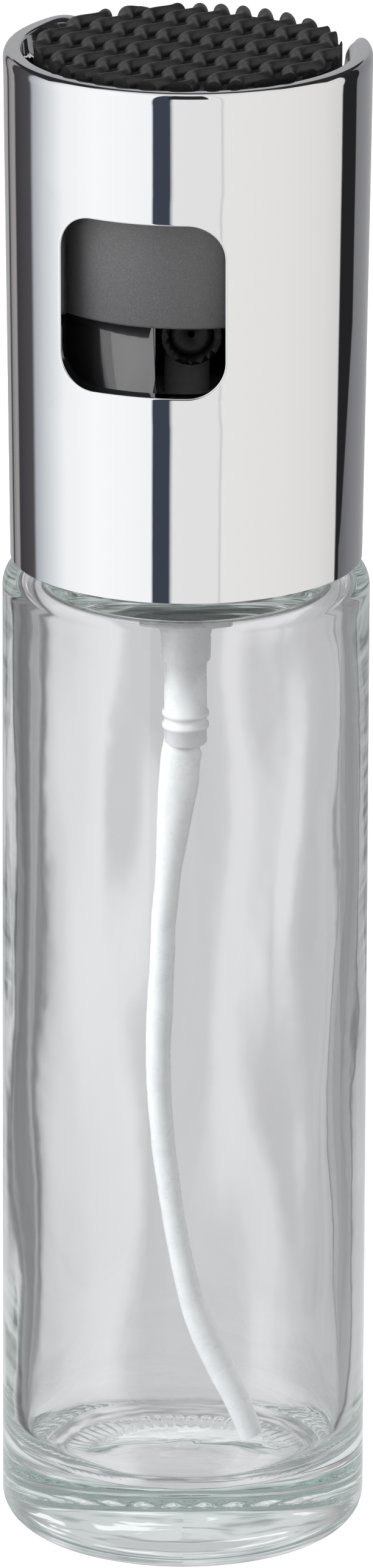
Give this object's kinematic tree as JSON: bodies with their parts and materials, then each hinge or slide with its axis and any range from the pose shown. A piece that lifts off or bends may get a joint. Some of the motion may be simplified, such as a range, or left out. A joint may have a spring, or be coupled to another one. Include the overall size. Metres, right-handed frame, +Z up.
{
  "type": "oil spray dispenser",
  "caption": "Slim refillable oil sprayer: clear glass bottle, screw-on pump head in a mirror-plated sleeve with a spray window, ribbed rubber push button and dip tube.",
  "frame": {"origin": "centre of the flat ring that the bottle stands on", "axes": "+Z up along the bottle's axis, -Y out of the spray window, +Y towards the finger scoop, +X to the right seen from the window side"},
  "size_m": [0.042, 0.042, 0.1776],
  "materials": {
    "clear_glass": "clear polished glass",
    "chrome_plate": "mirror plating",
    "gloss_black": "high-gloss black moulding",
    "satin_black": "smooth satin black moulding",
    "matte_black": "fine-textured dark grey moulding",
    "black_rubber": "matt black soft rubber",
    "milky_plastic": "translucent natural plastic",
    "white_plastic": "plain white moulding",
    "white_gasket": "soft white washer",
    "seal_rubber": "plain black rubber",
    "spring_steel": "drawn stainless wire and polished balls"
  },
  "bodies": {
    "bottle": {"glass_bottle": "clear_glass"},
    "gasket": {"neck_gasket": "white_gasket"},
    "pump": {"pump_housing": "milky_plastic", "stem_guide": "white_plastic", "stem_seal": "seal_rubber", "ball_retainer": "white_plastic", "return_spring": "spring_steel", "dip_tube": "milky_plastic"},
    "inlet_valve": {"inlet_ball": "spring_steel"},
    "head": {"closure_collar": "white_plastic", "inner_barrel": "gloss_black", "chrome_sleeve": "chrome_plate"},
    "plunger": {"pump_stem": "white_plastic", "piston": "white_plastic", "actuator": "satin_black", "nozzle_insert": "satin_black", "button_cap": "matte_black", "grip_pad": "black_rubber", "outlet_spring": "spring_steel"},
    "outlet_valve": {"outlet_ball": "spring_steel"}
  },
  "joints": [
    {"name": "lift_off", "type": "slide", "parent": "bottle", "child": "gasket", "axis": [0, 0, 1], "range_m": [0, 0.125]},
    {"name": "thread_rise", "type": "slide", "parent": "gasket", "child": "pump", "axis": [0, 0, 1], "range_m": [0, 0.0045]},
    {"name": "head_turn", "type": "hinge", "parent": "pump", "child": "head", "pos_m": [0, 0, 0.125], "axis": [0, 0, 1], "range_deg": [0, 540]},
    {"name": "button_press", "type": "slide", "parent": "head", "child": "plunger", "axis": [0, 0, -1], "range_m": [0, 0.005], "stiffness_N_per_m": 1500, "springref_m": -0.004, "deforming": ["return_spring"]},
    {"name": "inlet_ball_lift", "type": "slide", "parent": "pump", "child": "inlet_valve", "axis": [0, 0, 1], "range_m": [0, 0.0008]},
    {"name": "outlet_ball_lift", "type": "slide", "parent": "plunger", "child": "outlet_valve", "axis": [0, 0, 1], "range_m": [0, 0.0008], "stiffness_N_per_m": 60, "springref_m": -0.001, "deforming": ["outlet_spring"]}
  ],
  "couplings": [
    {"joint": "head_turn", "follows": "thread_rise", "rad_per_m": 2094.4}
  ]
}
